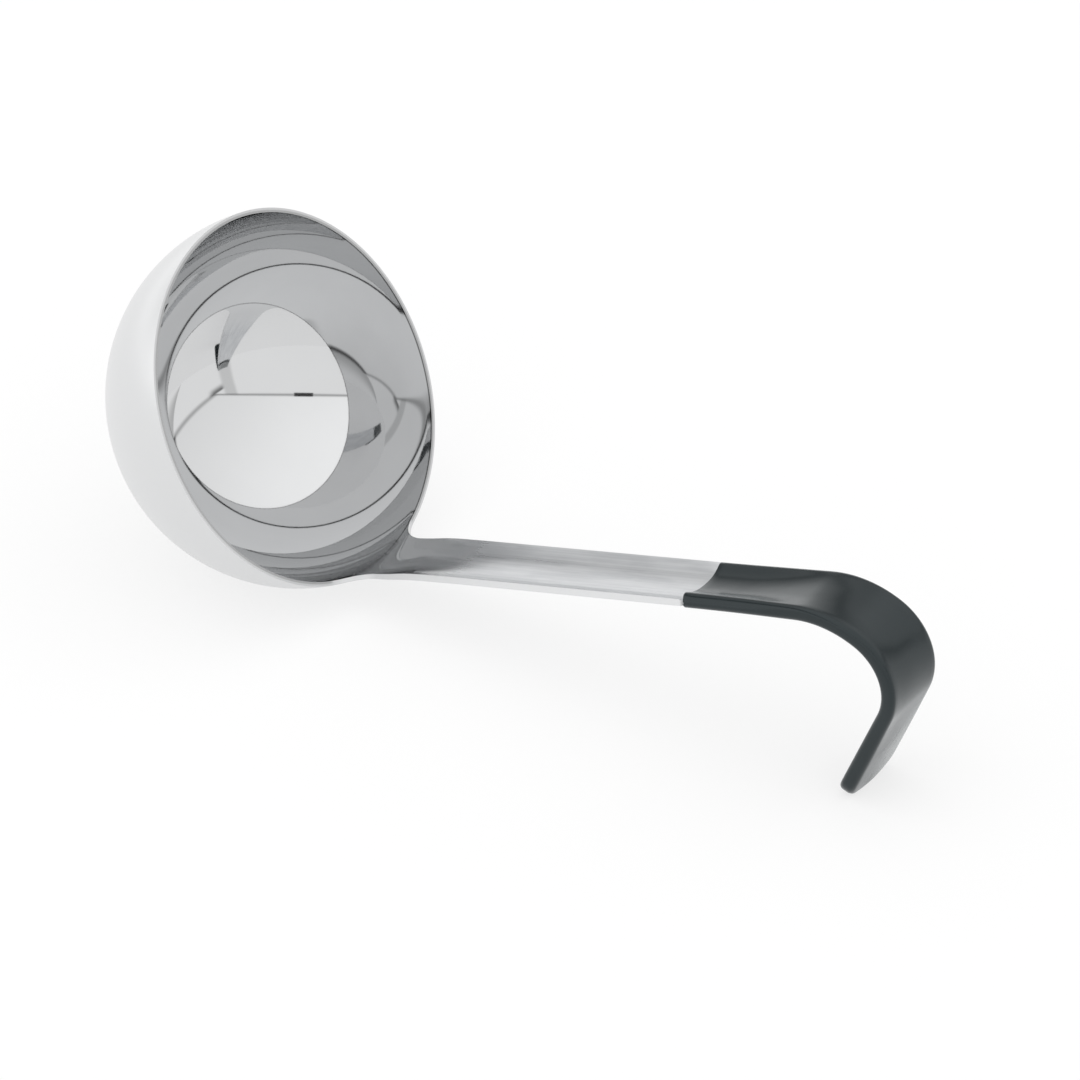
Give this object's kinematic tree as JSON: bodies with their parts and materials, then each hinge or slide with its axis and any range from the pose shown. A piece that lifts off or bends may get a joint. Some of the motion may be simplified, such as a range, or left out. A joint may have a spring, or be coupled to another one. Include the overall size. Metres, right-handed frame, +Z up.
{
  "type": "serving ladle",
  "caption": "Short-handled serving ladle: round pressed-steel bowl and channelled strap handle in one piece, with a dark dipped vinyl grip over its hooked end.",
  "frame": {"origin": "centre of the bounding box in plan, on the surface that the ladle lies on", "axes": "+Z up, +X from the bowl towards the hook, Y across, mirror plane y = 0"},
  "size_m": [0.2354, 0.0992, 0.0923],
  "materials": {
    "polished_steel": "polished bowl, satin strap",
    "black_vinyl": "smooth satin dipped vinyl"
  },
  "bodies": {
    "root": {"pressed_steel_body": "polished_steel", "vinyl_grip": "black_vinyl"}
  },
  "joints": []
}
